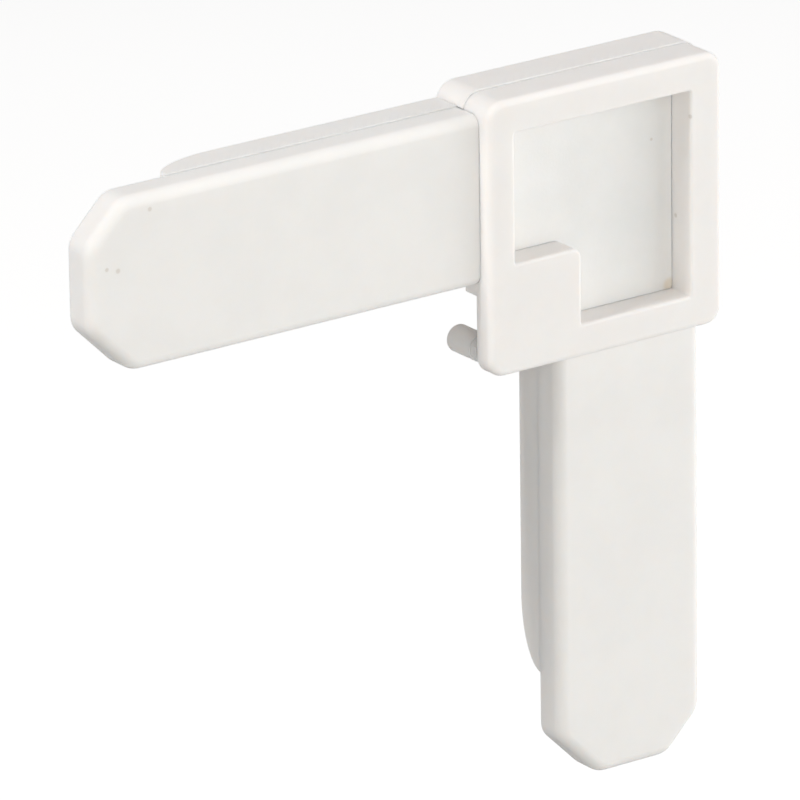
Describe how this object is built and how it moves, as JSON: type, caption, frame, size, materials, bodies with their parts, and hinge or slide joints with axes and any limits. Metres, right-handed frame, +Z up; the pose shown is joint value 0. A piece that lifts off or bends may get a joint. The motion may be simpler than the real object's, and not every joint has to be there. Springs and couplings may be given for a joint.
{
  "type": "stair gate latch",
  "caption": "L-shaped corner latch for a stair gate: square head with a recessed spring-loaded release pad and pin, and two arms that plug into hollow gate rails.",
  "frame": {"origin": "centre of the square head's flat rear face", "axes": "+X to the right, away from the rail arm; +Y back, out of the head's rear face; +Z up, away from the post arm"},
  "size_m": [0.1177, 0.014, 0.1177],
  "materials": {
    "shell": "satin warm white moulded plastic",
    "arm": "satin warm white moulded plastic",
    "pad": "matte spark-eroded white moulded plastic",
    "pin": "satin warm white moulded plastic",
    "steel": "zinc plated"
  },
  "bodies": {
    "latch_body": {"front_bezel": "shell", "rear_housing": "shell", "rail_arm_blade": "arm", "rail_arm_runner": "arm", "post_arm_blade": "arm", "post_arm_runner": "arm", "rail_side_spring": "steel", "post_side_spring": "steel", "corner_spring": "steel", "housing_screws": "steel", "rail_root_screws": "steel", "post_root_screws": "steel", "rail_arm_screws": "steel", "post_arm_screws": "steel"},
    "release": {"release_pad": "pad", "latch_pin": "pin", "pin_screw": "steel", "guide_pins": "steel"}
  },
  "joints": [
    {"name": "pad_press", "type": "slide", "parent": "latch_body", "child": "release", "axis": [0, 1, 0], "range_m": [0, 0.0026], "stiffness_N_per_m": 1800, "springref_m": -0.002, "deforming": ["rail_side_spring", "post_side_spring", "corner_spring"]}
  ]
}
